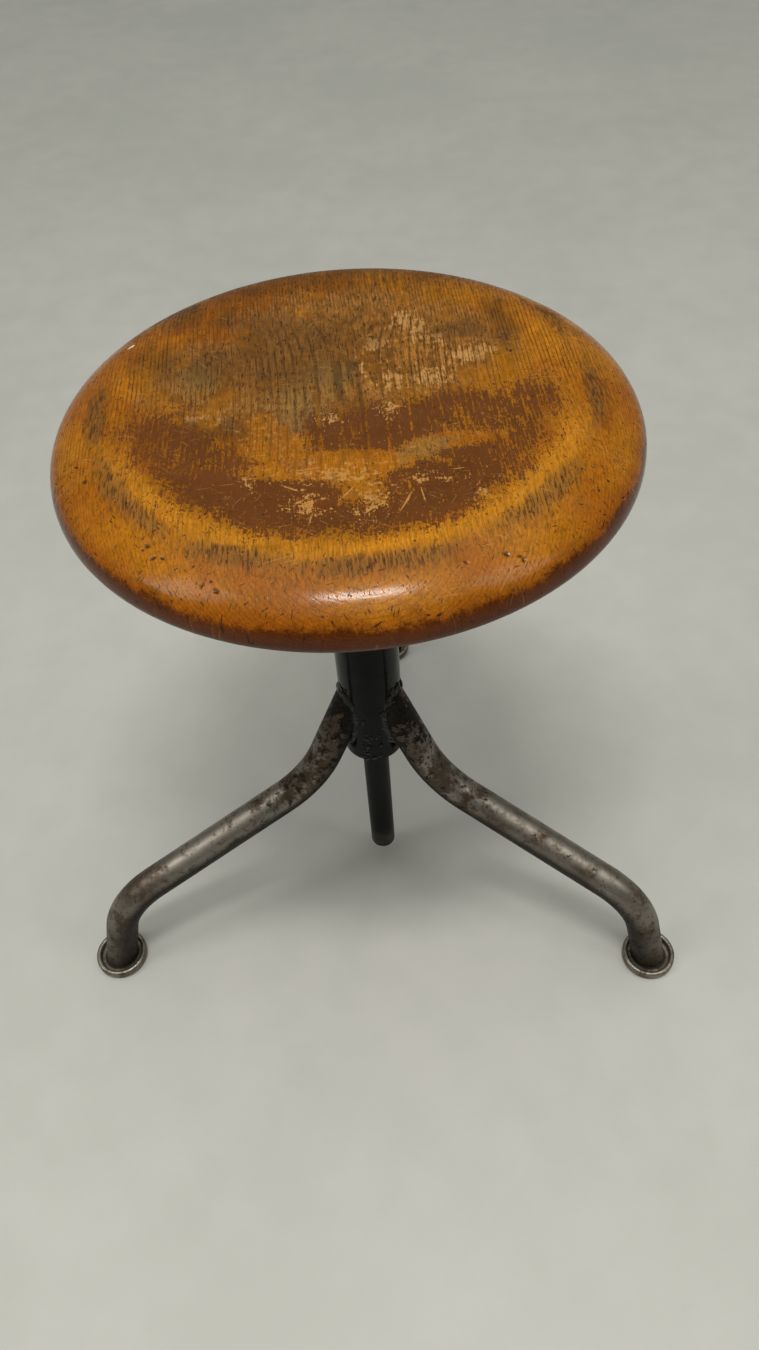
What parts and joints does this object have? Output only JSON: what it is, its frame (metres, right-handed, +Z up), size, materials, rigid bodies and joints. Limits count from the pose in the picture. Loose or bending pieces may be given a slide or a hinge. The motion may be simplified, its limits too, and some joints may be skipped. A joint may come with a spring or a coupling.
{
  "type": "workshop stool",
  "caption": "Low backless workshop or drafting stool: a dished round wooden seat that winds up and down on a screw spindle in a welded steel-tube tripod with cup feet.",
  "frame": {"origin": "where the swivel axis meets the floor", "axes": "+Z up along the swivel axis, +Y towards the rear leg, +X towards the right-hand front leg's side"},
  "size_m": [0.508, 0.454, 0.501],
  "materials": {
    "seat_wood": "worn varnish",
    "frame_paint": "satin black paint",
    "leg_steel": "bare steel with a brown patina",
    "foot_steel": "worn bare steel",
    "spindle_steel": "blackened steel",
    "nut_iron": "machined iron",
    "fastener_steel": "dull steel",
    "washer_leather": "oiled leather"
  },
  "bodies": {
    "frame": {"hub_tube": "frame_paint", "spindle_nut": "nut_iron", "guide_bush": "nut_iron", "nut_grub_screw": "fastener_steel", "bush_grub_screw": "fastener_steel", "leg_rear": "leg_steel", "leg_right": "leg_steel", "leg_left": "leg_steel", "leg_plug_rear": "fastener_steel", "leg_plug_right": "fastener_steel", "leg_plug_left": "fastener_steel", "foot_cup_rear": "foot_steel", "foot_cup_right": "foot_steel", "foot_cup_left": "foot_steel", "foot_rivet_rear": "fastener_steel", "foot_rivet_right": "fastener_steel", "foot_rivet_left": "fastener_steel"},
    "washer": {"buffer_washer": "washer_leather"},
    "seat": {"seat_board": "seat_wood", "seat_screws": "fastener_steel", "seat_flange": "frame_paint", "spindle_cross_pin": "fastener_steel", "spindle": "spindle_steel"}
  },
  "joints": [
    {"name": "seat_turn", "type": "hinge", "parent": "frame", "child": "washer", "pos_m": [0, 0, 0.436], "axis": [0, 0, 1], "range_deg": [0, 8100]},
    {"name": "seat_lift", "type": "slide", "parent": "washer", "child": "seat", "axis": [0, 0, 1], "range_m": [0, 0.135]}
  ],
  "couplings": [
    {"joint": "seat_lift", "follows": "seat_turn", "m_per_rad": 0.00095493}
  ]
}
